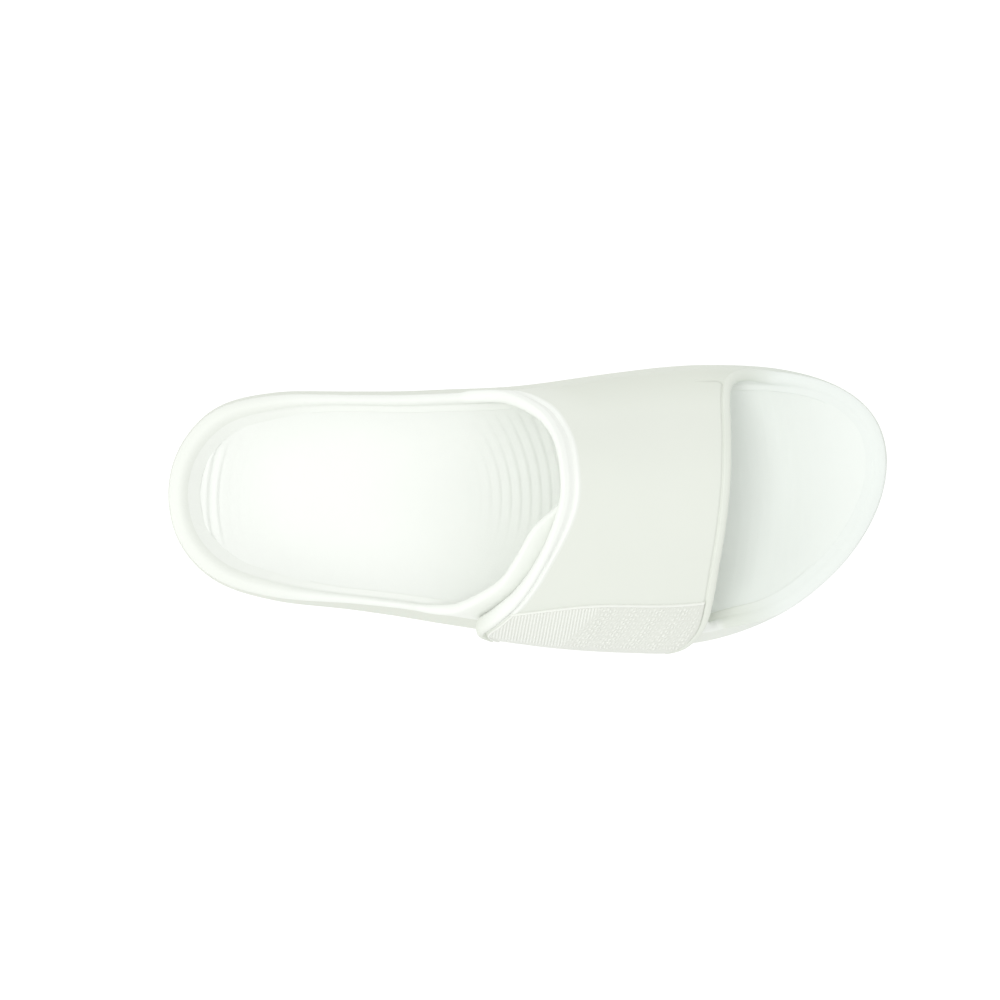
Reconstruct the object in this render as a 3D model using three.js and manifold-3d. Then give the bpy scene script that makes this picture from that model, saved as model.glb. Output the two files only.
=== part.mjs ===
// Sport slide sandal, right shoe: a foam slide whose band is closed by a hook-and-loop fastener.
// Millimetres. +X runs to the toe, +Y to the big-toe side and +Z up. The sole stands on z = 0.

import * as THREE from 'three';
import { mergeVertices } from 'three/addons/utils/BufferGeometryUtils.js';
import Module from 'manifold-3d';

const wasm = await Module();
wasm.setup();

const { lerp, smoothstep, degToRad, clamp } = THREE.MathUtils;

// Driving dimensions of the sole
const soleLength = 286.8;
const heelWidth = 87.5;
const ballWidth = 111;
const endRun = 42;
const heelFloor = 25;
const ballFloor = 18.5;
const toeFloorRise = 8;
const heelRim = 40;
const waistRim = 38;
const ballRim = 31.5;
const toeRim = 30.5;
const heelBevel = 4;
const archRise = 1.2;
const toeSpring = 12;
const medialFlare = 2.4;
const lateralFlare = 4.6;
const toeFlare = 1.2;
const widestHeight = 11;
const soleEdgeRadius = 3;
const beadWidth = 3.6;
const beadHeight = 4.4;
const beadUndercut = 0.7;
const innerWallRun = 4.2;
const heelCup = 5;
const ballCup = 2.4;

// Insole
const insoleThickness = 4;
const clearance = 0.3;

// Tread
const treadPitch = 17;
const treadGap = 3.2;
const treadDepth = 1.8;
const treadBorder = 10;
const treadWave = 4;

// Band, the wide strap of the upper
const bandWall = 4;
const bandRearAt = 155.7;
const bandCrownWidth = 65.7;
const bandSweep = 33;
const crownRear = 71;
const crownFront = 56;
const crownShift = 4;
const archBaseDrop = 1;
const rootDepth = 9;
const rootTaper = 0.3;
const rootProud = 0.4;
const rearBeadWidth = 5;
const rearBeadRise = 1.2;
const rearGrooveWidth = 2.2;
const rearGrooveDepth = 0.8;
const panelEdgeWidth = 1.2;
const panelEdgeRise = 0.5;
const frontBeadWidth = 2.6;
const frontBeadRise = 0.5;
const frontGrooveWidth = 1;
const frontGrooveDepth = 0.7;
const edgeRound = 0.9;
const rearBeadRoll = 0.3;
const freeEndDrop = 5;

// Tab under the band's free end, and the fastener between them
const tabWall = 4;
const tabTopTurn = 93;
const padThickness = 1;
const padInset = 7;
const loopTopTurn = 104;
const loopEndTurn = 158;
const hookTopTurn = 114;
const hookEndTurn = 166;
const rampStartTurn = 48;
const rampEndTurn = 86;

// Grip panel on the free end
const gripThickness = 0.8;
const gripInset = 1;
const gripRearTurn = 142;
const gripFrontTurn = 133;
const gripEndTurn = 178;

// Where along the sole its shapes start and end, as shares of the length from the heel's back
const heelBevelEnd = 0.1;
const archStart = 0.32;
const archEnd = 0.58;
const toeSpringStart = 0.72;
const floorDrop = { start: 0.3, end: 0.66 };
const cupDrop = { start: 0.35, end: 0.7 };
const heelRimDrop = { start: 0.08, end: 0.35 };
const ballRimDrop = { start: 0.4, end: 0.78 };
const toeRimRise = { start: 0.82, end: 1 };
const widening = { start: 0.3, end: 0.7 };
const flareRise = { start: 0.1, end: 0.4 };
const flareDrop = { start: 0.72, end: 0.92 };
const toeThinning = { start: 0.8, end: 0.95 };

// Facets
const soleFacets = 80;
const bandFacets = 24;
const filletFacets = 4;
const tabFacets = 10;
const treadFacets = 6;
const padFacets = 8;
const footbedShares = [0, 0.12, 0.3, 0.6, 1];

// Plan of the sole, a row for each 15 degrees of a turn whose cosine runs from heel to toe.
// half is a share of the local width, mid a share of the ball width.
const plan = [
  { half: 0, mid: 0.054 },
  { half: 0.229, mid: 0.052 },
  { half: 0.4, mid: 0.054 },
  { half: 0.477, mid: 0.047 },
  { half: 0.5, mid: 0.033 },
  { half: 0.522, mid: 0.012 },
  { half: 0.508, mid: -0.004 },
  { half: 0.5, mid: 0.005 },
  { half: 0.5, mid: 0.023 },
  { half: 0.443, mid: 0.064 },
  { half: 0.33, mid: 0.114 },
  { half: 0.178, mid: 0.155 },
  { half: 0, mid: 0.171 },
];

// Edges of band and tab, a row for each 15 degrees over the foot from the big-toe side.
// Each column is a share of bandSweep: back from the crown's rear line, or on from its front line.
const edges = [
  { bandRear: 0.9, bandFront: 0.12, tabRear: 0, tabFront: 0 },
  { bandRear: 0.68, bandFront: 0.06, tabRear: 0, tabFront: 0 },
  { bandRear: 0.45, bandFront: 0.02, tabRear: 0, tabFront: 0 },
  { bandRear: 0.22, bandFront: 0, tabRear: 0, tabFront: 0 },
  { bandRear: 0.08, bandFront: 0, tabRear: 0, tabFront: 0 },
  { bandRear: 0.01, bandFront: -0.01, tabRear: 0, tabFront: -0.8 },
  { bandRear: 0, bandFront: -0.03, tabRear: -0.05, tabFront: -0.7 },
  { bandRear: 0.12, bandFront: -0.08, tabRear: 0.31, tabFront: -0.48 },
  { bandRear: 0.31, bandFront: -0.15, tabRear: 0.51, tabFront: -0.39 },
  { bandRear: 0.54, bandFront: -0.21, tabRear: 0.71, tabFront: -0.33 },
  { bandRear: 0.8, bandFront: -0.29, tabRear: 1.01, tabFront: -0.29 },
  { bandRear: 0.98, bandFront: -0.47, tabRear: 1.26, tabFront: -0.24 },
  { bandRear: 0.86, bandFront: -0.67, tabRear: 1.46, tabFront: -0.16 },
];

// Fillets where band and tab leave the rim: the turn in degrees they take up and their run along the rim
const rootFilletTurn = 17;
const fillets = {
  bandRear: { turn: rootFilletTurn, run: 12 },
  bandFront: { turn: 30, run: 10 },
  tabRear: { turn: rootFilletTurn, run: 12 },
  tabFront: { turn: rootFilletTurn, run: 5 },
};

// Worked out from the sizes above
const heelBack = -soleLength / 2;
const crownRearX = heelBack + bandRearAt;
const crownFrontX = crownRearX + bandCrownWidth;
const loopLift = tabWall + clearance;
const hookLift = loopLift + padThickness + clearance;
const overlapLift = hookLift + padThickness + clearance;

// Reads a column of a table at a place counted in rows, along a smooth curve through the rows.
// flip is -1 where the column changes sign past its ends, and 1 where it mirrors.
function column(rows, name, place, flip = 1) {
  const last = rows.length - 1;
  const at = (i) => {
    if (i < 0) return flip * rows[-i][name];
    if (i > last) return flip * rows[2 * last - i][name];
    return rows[i][name];
  };
  const i = Math.min(Math.floor(place), last - 1);
  const t = place - i;
  const [a, b, c, d] = [at(i - 1), at(i), at(i + 1), at(i + 2)];
  const square = t * t;
  const cube = square * t;
  return 0.5 * (2 * b + (c - a) * t + (2 * a - 5 * b + 4 * c - d) * square + (3 * b - a - 3 * c + d) * cube);
}

// Share of the length, from the heel's back, at x
function alongAt(x) {
  return clamp((x - heelBack) / soleLength, 0, 1);
}

// How far along lies through a stretch, eased at both ends
function within(stretch, along) {
  return smoothstep(along, stretch.start, stretch.end);
}

// How far along lies through the sole's last part, where the toe springs up
function toeShare(along) {
  return Math.max(0, (along - toeSpringStart) / (1 - toeSpringStart));
}

// Half width and middle line of the sole at a turn from 0 at the heel to pi at the toe
function planAt(turn) {
  const x = heelBack * Math.cos(turn);
  const place = (turn / Math.PI) * (plan.length - 1);
  const width = lerp(heelWidth, ballWidth, within(widening, alongAt(x)));
  const half = width * column(plan, 'half', place, -1);
  const mid = ballWidth * column(plan, 'mid', place);
  return { x, half, mid };
}

function planAtX(x) {
  return planAt(Math.acos(1 - 2 * alongAt(x)));
}

// Underside: heel bevel, flat heel, arch, flat ball and toe spring
function undersideAt(x) {
  const along = alongAt(x);
  const bevel = heelBevel * Math.max(0, 1 - along / heelBevelEnd) ** 2;
  const archShare = clamp((along - archStart) / (archEnd - archStart), 0, 1);
  const arch = archRise * Math.sin(Math.PI * archShare) ** 2;
  return bevel + arch + toeSpring * toeShare(along) ** 1.8;
}

// Height of the footbed on its middle line
function floorAt(x) {
  const along = alongAt(x);
  return lerp(heelFloor, ballFloor, within(floorDrop, along)) + toeFloorRise * toeShare(along) ** 2;
}

// How far the footbed's edge stands above its middle
function cupAt(x) {
  return lerp(heelCup, ballCup, within(cupDrop, alongAt(x)));
}

function rimAt(x) {
  const along = alongAt(x);
  const back = lerp(heelRim, waistRim, within(heelRimDrop, along));
  const ball = lerp(back, ballRim, within(ballRimDrop, along));
  return lerp(ball, toeRim, within(toeRimRise, along));
}

// How far the side wall leans in from its widest line to the rim
function flareAt(x, side) {
  const along = alongAt(x);
  const waist = within(flareRise, along) * (1 - within(flareDrop, along));
  const wall = side > 0 ? medialFlare : lerp(medialFlare, lateralFlare, waist);
  return lerp(wall, toeFlare, within(toeThinning, along));
}

// Depth of the groove under the heel's bead, which fades out where band and tab leave the rim
function undercutAt(x) {
  return beadUndercut * (1 - smoothstep(x, crownRearX - bandSweep * 2, crownRearX - bandSweep));
}

// A line of the plan from the outline in to the spine. turn goes once round the sole.
function spoke(turn) {
  const side = turn <= Math.PI ? 1 : -1;
  const half = side > 0 ? turn : 2 * Math.PI - turn;
  const at = planAt(half);
  const outer = new THREE.Vector2(at.x, at.mid + side * at.half);
  const inner = new THREE.Vector2(at.x + endRun * Math.cos(half), at.mid);
  return { side, outer, inner, reach: outer.distanceTo(inner), flare: flareAt(at.x, side) };
}

function onSpoke(line, inset, height) {
  const flat = line.outer.clone().lerp(line.inner, inset / line.reach);
  return new THREE.Vector3(flat.x, flat.y, typeof height === 'number' ? height : height(flat.x));
}

// Inset of the footbed's edge
function footbedInset(line) {
  return line.flare + beadWidth + innerWallRun;
}

// Height of the footbed, a dish that rises towards the rim's inner wall
function footbedAt(x, share) {
  return floorAt(x) + cupAt(x) * (1 - share) ** 3;
}

// Points of a face that lies a depth under the footbed, from its edge in to the spine
function dishPoints(line, edgeInset, depth) {
  return footbedShares.map((share) => {
    return onSpoke(line, lerp(edgeInset, line.reach, share), (x) => footbedAt(x, share) - depth);
  });
}

// One section of the sole, from the middle of its underside, round the side and into the insole's tray
function soleSection(line) {
  const rimZ = rimAt(line.outer.x);
  const foot = undersideAt(line.outer.x);
  const rimInset = line.flare;
  const trayInset = footbedInset(line);
  const wallTop = rimZ - beadHeight;
  const undercut = undercutAt(line.outer.x);
  const underside = (inset) => onSpoke(line, inset, undersideAt);
  const trayLip = onSpoke(line, trayInset, (x) => footbedAt(x, 0));
  return [
    underside(line.reach),
    underside(lerp(treadBorder, line.reach, 0.5)),
    underside(treadBorder),
    underside(soleEdgeRadius),
    onSpoke(line, soleEdgeRadius * 0.3, foot + soleEdgeRadius * 0.7),
    onSpoke(line, 0, foot + widestHeight * 0.6),
    onSpoke(line, 0, foot + widestHeight),
    onSpoke(line, rimInset * 0.35, lerp(foot + widestHeight, wallTop, 0.5)),
    onSpoke(line, rimInset * 0.9, wallTop - beadUndercut),
    onSpoke(line, rimInset + undercut, wallTop),
    onSpoke(line, rimInset, wallTop + beadUndercut),
    onSpoke(line, rimInset, rimZ - beadHeight * 0.35),
    onSpoke(line, rimInset + beadWidth * 0.28, rimZ),
    onSpoke(line, rimInset + beadWidth * 0.65, rimZ),
    onSpoke(line, rimInset + beadWidth, rimZ - beadHeight * 0.3),
    onSpoke(line, rimInset + beadWidth + innerWallRun * 0.4, lerp(rimZ - beadHeight * 0.3, trayLip.z, 0.6)),
    trayLip,
    ...dishPoints(line, trayInset, insoleThickness + clearance),
  ];
}

function insoleSection(line) {
  const edgeInset = footbedInset(line) + clearance;
  return [...dishPoints(line, edgeInset, insoleThickness).reverse(), ...dishPoints(line, edgeInset, 0)];
}

// Closed solid from a grid of points. Rows that close on themselves or on a line share their points.
function solidFromFaces(points, quads) {
  const geometry = new THREE.BufferGeometry();
  geometry.setAttribute('position', new THREE.Float32BufferAttribute(points.flatMap((p) => [p.x, p.y, p.z]), 3));
  geometry.setIndex(quads.flatMap(([a, b, c, d]) => [a, b, c, a, c, d]));
  const merged = mergeVertices(geometry, 1e-4);
  const index = Array.from(merged.index.array);
  const kept = [];
  for (let i = 0; i < index.length; i += 3) {
    const [a, b, c] = index.slice(i, i + 3);
    if (a !== b && b !== c && c !== a) kept.push([a, b, c]);
  }
  const position = merged.attributes.position;
  const corner = (i) => new THREE.Vector3().fromBufferAttribute(position, i);
  const volume = kept.reduce((sum, [a, b, c]) => sum + corner(a).dot(corner(b).cross(corner(c))), 0);
  merged.setIndex(kept.flatMap(([a, b, c]) => (volume < 0 ? [a, c, b] : [a, b, c])));
  return merged;
}

// Closed solid through the sections of the spokes round the sole
function ringSolid(section) {
  const points = [];
  const quads = [];
  let size = 0;
  for (let i = 0; i < soleFacets; i++) {
    const row = section(spoke((i / soleFacets) * 2 * Math.PI));
    size = row.length;
    points.push(...row);
  }
  for (let i = 0; i < soleFacets; i++) {
    const next = (i + 1) % soleFacets;
    for (let j = 0; j < size - 1; j++) {
      quads.push([i * size + j, next * size + j, next * size + j + 1, i * size + j + 1]);
    }
  }
  return solidFromFaces(points, quads);
}

// Solid between an outer and an inner sheet with as many rows and columns
function sheetSolid(outer, inner) {
  const rows = outer.length;
  const cols = outer[0].length;
  const points = [...outer.flat(), ...inner.flat()];
  const out = (i, j) => i * cols + j;
  const inn = (i, j) => rows * cols + i * cols + j;
  const quads = [];
  for (let i = 0; i < rows - 1; i++) {
    for (let j = 0; j < cols - 1; j++) {
      quads.push([out(i, j), out(i + 1, j), out(i + 1, j + 1), out(i, j + 1)]);
      quads.push([inn(i, j), inn(i, j + 1), inn(i + 1, j + 1), inn(i + 1, j)]);
    }
    quads.push([out(i, 0), inn(i, 0), inn(i + 1, 0), out(i + 1, 0)]);
    quads.push([out(i, cols - 1), out(i + 1, cols - 1), inn(i + 1, cols - 1), inn(i, cols - 1)]);
  }
  for (let j = 0; j < cols - 1; j++) {
    quads.push([out(0, j), out(0, j + 1), inn(0, j + 1), inn(0, j)]);
    quads.push([out(rows - 1, j), inn(rows - 1, j), inn(rows - 1, j + 1), out(rows - 1, j + 1)]);
  }
  return solidFromFaces(points, quads);
}

function toManifold(geometry) {
  const vertProperties = Float32Array.from(geometry.attributes.position.array);
  const triVerts = Uint32Array.from(geometry.index.array);
  return new wasm.Manifold(new wasm.Mesh({ numProp: 3, vertProperties, triVerts }));
}

function fromManifold(solid) {
  const mesh = solid.getMesh();
  const geometry = new THREE.BufferGeometry();
  geometry.setAttribute('position', new THREE.BufferAttribute(mesh.vertProperties, 3));
  geometry.setIndex(new THREE.BufferAttribute(mesh.triVerts, 1));
  return geometry;
}

// A point of the arch over the foot. turn is 0 at the big-toe side's root and pi at the other,
// and past either it runs straight down. lift is the distance out from the band's inner face.
function archPoint(turn, x, lift) {
  const at = planAtX(x);
  const medial = at.mid + at.half - flareAt(x, 1);
  const lateral = at.mid - at.half + flareAt(x, -1);
  const span = (medial - lateral) / 2 - bandWall + rootProud;
  const base = rimAt(x) - archBaseDrop;
  const crown = lerp(crownRear, crownFront, (x - crownRearX) / bandCrownWidth);
  const over = clamp(turn, 0, Math.PI);
  const drop = (over - turn) * span * (turn < 0 ? 1 : -1);
  const y = (medial + lateral) / 2 + (span + lift) * Math.cos(over) + crownShift * Math.sin(over) ** 2;
  return new THREE.Vector3(x, y, base + (crown - base + lift) * Math.sin(over) - drop);
}

// x of an edge of band or tab at a turn. It runs out in a fillet where the strap leaves the rim.
function edgeAt(name, turn) {
  const place = clamp(turn / Math.PI, 0, 1) * (edges.length - 1);
  const share = column(edges, name, place);
  const fromRoot = Math.max(0, name.startsWith('band') ? turn : Math.PI - turn);
  const fillet = fillets[name];
  const open = Math.max(0, 1 - fromRoot / degToRad(fillet.turn));
  const spread = share * bandSweep + fillet.run * (1 - Math.sqrt(1 - open ** 2));
  return name.endsWith('Rear') ? crownRearX - spread : crownFrontX + spread;
}

const bandRear = (turn) => edgeAt('bandRear', turn);
const bandFront = (turn) => edgeAt('bandFront', turn);
const tabRear = (turn) => edgeAt('tabRear', turn);
const tabFront = (turn) => edgeAt('tabFront', turn);

// Lift of the band's inner face: on the foot at the big-toe side, over tab and fastener at the other
function bandLift(turn) {
  return overlapLift * smoothstep(turn, degToRad(rampStartTurn), degToRad(rampEndTurn));
}

// Rows of points over the foot, with a column for each entry of a section across the strap.
// A section's entry has a share from rear to front edge, a shift from there and a lift. Its roll is
// the share of the strap's lift that a rolled bead takes back on its inner side.
function strapSheet(turns, rearAt, frontAt, liftAt, section) {
  return turns.map((turn) => section.map(({ share, shift, lift, roll = 0 }) => {
    return archPoint(turn, lerp(rearAt(turn), frontAt(turn), share) + shift, liftAt(turn) * (1 - roll) + lift);
  }));
}

function turnsBetween(first, last, facets) {
  return Array.from({ length: facets + 1 }, (_, i) => lerp(first, last, i / facets));
}

// A drop in millimetres past the root as a turn, by the arch's half span
function turnForDrop(drop) {
  return drop / (ballWidth / 2 - bandWall);
}

// How far a strap's rows in its fillet lie from the root, close together where it leaves the rim
function filletTurns() {
  return turnsBetween(0, 1, filletFacets).map((share) => degToRad(rootFilletTurn) * share ** 2);
}

// The section at a strap's buried root, thinned so that its relief dies away in the side wall
function buried(section) {
  return section.map((entry) => ({ ...entry, lift: entry.lift * rootTaper }));
}

function bandGeometry() {
  const bead = rearBeadWidth;
  const groove = bead + rearGrooveWidth;
  const frontGroove = frontBeadWidth + frontGrooveWidth;
  const outer = [
    { share: 0, shift: 0, lift: bandWall * 0.6 },
    { share: 0, shift: edgeRound, lift: bandWall + rearBeadRise * 0.7 },
    { share: 0, shift: bead * 0.5, lift: bandWall + rearBeadRise },
    { share: 0, shift: bead - edgeRound, lift: bandWall + rearBeadRise * 0.7 },
    { share: 0, shift: bead, lift: bandWall - rearGrooveDepth },
    { share: 0, shift: groove, lift: bandWall - rearGrooveDepth },
    { share: 0, shift: groove + panelEdgeWidth * 0.4, lift: bandWall + panelEdgeRise },
    { share: 0, shift: groove + panelEdgeWidth, lift: bandWall },
    { share: 0.3, shift: 0, lift: bandWall },
    { share: 0.5, shift: 0, lift: bandWall },
    { share: 0.7, shift: 0, lift: bandWall },
    { share: 1, shift: -frontGroove, lift: bandWall },
    { share: 1, shift: -frontBeadWidth - frontGrooveWidth * 0.5, lift: bandWall - frontGrooveDepth },
    { share: 1, shift: -frontBeadWidth, lift: bandWall + frontBeadRise * 0.6 },
    { share: 1, shift: -frontBeadWidth * 0.5, lift: bandWall + frontBeadRise },
    { share: 1, shift: -edgeRound * 0.4, lift: bandWall },
    { share: 1, shift: 0, lift: bandWall * 0.6 },
  ];
  const inner = outer.map(({ share, shift }, i) => {
    const edge = i === 0 || i === outer.length - 1;
    const roll = share === 0 && shift < bead ? rearBeadRoll : 0;
    return { share, shift, lift: edge ? bandWall * 0.3 : 0, roll };
  });
  const root = -turnForDrop(rootDepth);
  const end = Math.PI + turnForDrop(freeEndDrop);
  const rest = turnsBetween(degToRad(rootFilletTurn), Math.PI, bandFacets).slice(1);
  const turns = [...filletTurns(), ...rest, end];
  const rows = (at, section) => strapSheet(at, bandRear, bandFront, bandLift, section);
  const sheet = (section) => [...rows([root], buried(section)), ...rows(turns, section)];
  return sheetSolid(sheet(outer), sheet(inner));
}

function tabGeometry() {
  const outer = [
    { share: 0, shift: 0, lift: tabWall * 0.65 },
    { share: 0, shift: edgeRound, lift: tabWall },
    { share: 0.2, shift: 0, lift: tabWall },
    { share: 0.4, shift: 0, lift: tabWall },
    { share: 0.6, shift: 0, lift: tabWall },
    { share: 0.8, shift: 0, lift: tabWall },
    { share: 1, shift: -edgeRound, lift: tabWall },
    { share: 1, shift: 0, lift: tabWall * 0.65 },
  ];
  const inner = outer.map(({ share, shift }, i) => {
    const edge = i === 0 || i === outer.length - 1;
    return { share, shift, lift: edge ? tabWall * 0.35 : 0 };
  });
  const root = Math.PI + turnForDrop(rootDepth);
  const rest = turnsBetween(degToRad(tabTopTurn), Math.PI - degToRad(rootFilletTurn), tabFacets).slice(0, -1);
  const fillet = filletTurns().map((turn) => Math.PI - turn).reverse();
  const turns = [...rest, ...fillet];
  const rows = (at, section) => strapSheet(at, tabRear, tabFront, () => 0, section);
  const sheet = (section) => [...rows(turns, section), ...rows([root], buried(section))];
  return sheetSolid(sheet(outer), sheet(inner));
}

// One half of the fastener: a pad between tab and band that follows both
function padGeometry(firstTurn, lastTurn, lift) {
  const rear = (turn) => bandRear(turn) + padInset;
  const front = (turn) => Math.min(bandFront(turn), tabFront(turn)) - padInset;
  const turns = turnsBetween(degToRad(firstTurn), degToRad(lastTurn), padFacets);
  const shares = turnsBetween(0, 1, padFacets / 2);
  const face = (depth) => shares.map((share) => ({ share, shift: 0, lift: lift + depth }));
  const sheet = (depth) => strapSheet(turns, rear, front, () => 0, face(depth));
  return sheetSolid(sheet(padThickness), sheet(0));
}

// Panel over the free end's outer face, inside the beads of its edges
function gripGeometry() {
  const rearInset = rearBeadWidth + rearGrooveWidth + panelEdgeWidth + gripInset;
  const frontInset = frontBeadWidth + frontGrooveWidth + gripInset;
  const shares = turnsBetween(0, 1, padFacets);
  const sheet = (depth) => shares.map((down) => shares.map((across) => {
    const top = lerp(degToRad(gripRearTurn), degToRad(gripFrontTurn), across);
    const turn = lerp(top, degToRad(gripEndTurn), down);
    const x = lerp(bandRear(turn) + rearInset, bandFront(turn) - frontInset, across);
    return archPoint(turn, x, bandLift(turn) + bandWall + clearance + depth);
  }));
  return sheetSolid(sheet(gripThickness), sheet(0));
}

// Grooves across the underside, waved, inside a plain border
function treadGrooves() {
  const grooves = [];
  const first = heelBack + treadBorder + treadPitch;
  const last = -heelBack - treadBorder - treadPitch;
  for (let x = first; x < last; x += treadPitch) {
    const at = planAtX(x);
    const reach = at.half - treadBorder;
    const rows = turnsBetween(-reach, reach, treadFacets).map((side) => {
      const wave = treadWave * Math.cos((side / reach) * Math.PI);
      return [x + wave - treadGap / 2, x + wave + treadGap / 2].map((along) => ({ along, across: at.mid + side }));
    });
    const sheet = (lift) => rows.map((row) => row.map(({ along, across }) => {
      return new THREE.Vector3(along, across, undersideAt(along) + lift);
    }));
    grooves.push(toManifold(sheetSolid(sheet(treadDepth), sheet(-treadDepth))));
  }
  return grooves;
}

function mouldedBodyGeometry() {
  const sole = toManifold(ringSolid(soleSection));
  const moulded = sole.add(toManifold(bandGeometry())).add(toManifold(tabGeometry()));
  return fromManifold(treadGrooves().reduce((body, groove) => body.subtract(groove), moulded));
}

function foam(color, roughness) {
  return new THREE.MeshStandardMaterial({ color, roughness, metalness: 0 });
}

function piece(name, geometry, material) {
  const mesh = new THREE.Mesh(geometry, material);
  mesh.name = name;
  return mesh;
}

const shoe = new THREE.Group();
shoe.add(piece('sole_and_upper', mouldedBodyGeometry(), foam(0xeef1ea, 0.7)));
shoe.add(piece('insole', ringSolid(insoleSection), foam(0xf3f6f0, 0.8)));
shoe.add(piece('loop_pad', padGeometry(loopTopTurn, loopEndTurn, loopLift), foam(0xe6e9e2, 0.95)));
shoe.add(piece('hook_pad', padGeometry(hookTopTurn, hookEndTurn, hookLift), foam(0xe6e9e2, 0.9)));
shoe.add(piece('grip_panel', gripGeometry(), foam(0xe8ebe4, 0.6)));

const box = new THREE.Box3().setFromObject(shoe);
const middle = box.getCenter(new THREE.Vector3());
shoe.position.set(-middle.x, -middle.y, -box.min.z);

export default shoe;
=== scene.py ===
import math

import bmesh
import bpy
import numpy as np
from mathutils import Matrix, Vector


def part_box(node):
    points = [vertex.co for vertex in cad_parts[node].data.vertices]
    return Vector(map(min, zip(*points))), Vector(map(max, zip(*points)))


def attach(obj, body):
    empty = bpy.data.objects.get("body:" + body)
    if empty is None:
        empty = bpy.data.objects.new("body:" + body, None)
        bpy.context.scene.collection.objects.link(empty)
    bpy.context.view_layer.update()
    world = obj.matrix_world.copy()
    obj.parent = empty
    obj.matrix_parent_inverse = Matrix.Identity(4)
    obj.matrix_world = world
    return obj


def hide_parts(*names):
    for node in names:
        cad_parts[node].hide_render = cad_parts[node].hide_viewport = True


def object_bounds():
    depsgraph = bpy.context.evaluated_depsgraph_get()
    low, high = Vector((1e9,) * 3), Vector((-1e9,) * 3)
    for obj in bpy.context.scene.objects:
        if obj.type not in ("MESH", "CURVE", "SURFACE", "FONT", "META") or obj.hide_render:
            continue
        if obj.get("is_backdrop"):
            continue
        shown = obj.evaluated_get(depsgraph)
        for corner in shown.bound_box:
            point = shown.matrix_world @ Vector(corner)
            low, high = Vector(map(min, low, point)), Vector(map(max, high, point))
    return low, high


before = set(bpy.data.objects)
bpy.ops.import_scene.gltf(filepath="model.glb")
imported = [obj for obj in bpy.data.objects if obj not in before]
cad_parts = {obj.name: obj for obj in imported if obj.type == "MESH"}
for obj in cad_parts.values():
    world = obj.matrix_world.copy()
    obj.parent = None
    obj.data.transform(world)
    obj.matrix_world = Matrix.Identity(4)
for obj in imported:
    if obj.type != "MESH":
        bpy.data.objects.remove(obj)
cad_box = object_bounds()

MM = 0.001

# Sizes of the shoe, in millimetres. Plan, heights, wall thicknesses and the band's form are the
# CAD's. The rim's bead, the footbed's cup, the front fillets and the reliefs follow the photo
# more closely here
SOLE_LENGTH = (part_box("sole_and_upper")[1][0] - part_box("sole_and_upper")[0][0]) / MM
HEEL_BACK = -SOLE_LENGTH / 2
HEEL_WIDTH = 87.5
BALL_WIDTH = 111.0
END_RUN = 42.0
HEEL_FLOOR = 25.0
BALL_FLOOR = 18.5
TOE_FLOOR_RISE = 8.0
HEEL_RIM = 40.0
WAIST_RIM = 38.0
BALL_RIM = 31.5
TOE_RIM = 30.5
HEEL_BEVEL = 4.0
ARCH_RISE = 1.2
TOE_SPRING = 12.0
MEDIAL_FLARE = 2.4
LATERAL_FLARE = 4.6
TOE_FLARE = 1.2
WIDEST_HEIGHT = 11.0
EDGE_RADIUS = 3.0
BEAD_WIDTH = 4.4
HEEL_BEAD_WIDTH = 7.5
LATERAL_BEAD_WIDTH = 3.0
BIG_TOE_BEAD_WIDTH = 6.5
TOE_BEAD_WIDTH = 5.0
BEAD_RISE = 2.3
TOE_BEAD_RISE = 0.45
WALL_RUN = 2.6
HEEL_WALL_RUN = 4.0
TOE_WALL_RUN = 3.0
HEEL_LIP_DROP = 4.0
WAIST_LIP_DROP = 1.8
TOE_LIP_DROP = 0.5
INSOLE_THICKNESS = 4.0
CLEARANCE = 0.3
MEDIAL_REACH = 58.15
TREAD_BORDER = 10.0
TREAD_PITCH = 17.0
TREAD_GAP = 3.2
TREAD_DEPTH = 1.8
TREAD_WAVE = 4.0

BAND_WALL = 4.0
BAND_REAR_AT = 155.7
BAND_CROWN_WIDTH = 65.7
BAND_SWEEP = 33.0
CROWN_REAR = 71.0
CROWN_FRONT = 56.0
CROWN_SHIFT = 4.0
BASE_DROP = 1.0
ROOT_FILLET_TURN = 17
FREE_END_DROP = 5.0
EDGE_REACH = 1.6
FRONT_SET = 0.2
REAR_ROLL = 0.3
REAR_ROLL_REACH = (2.5, 6)
RAMP_START = math.radians(48)
RAMP_END = math.radians(86)
TAB_TOP = math.radians(93)
PAD_THICKNESS = 1.0
LOOP_LIFT = BAND_WALL + CLEARANCE
HOOK_LIFT = LOOP_LIFT + PAD_THICKNESS + CLEARANCE
OVERLAP_LIFT = HOOK_LIFT + PAD_THICKNESS + CLEARANCE

CROWN_REAR_X = HEEL_BACK + BAND_REAR_AT
CROWN_FRONT_X = CROWN_REAR_X + BAND_CROWN_WIDTH
HALF_SPAN = BALL_WIDTH / 2 - BAND_WALL

# How far under the arch's base the straps meet the rim's bead
ROOT_TURN = (BEAD_RISE - BASE_DROP) / HALF_SPAN

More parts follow.
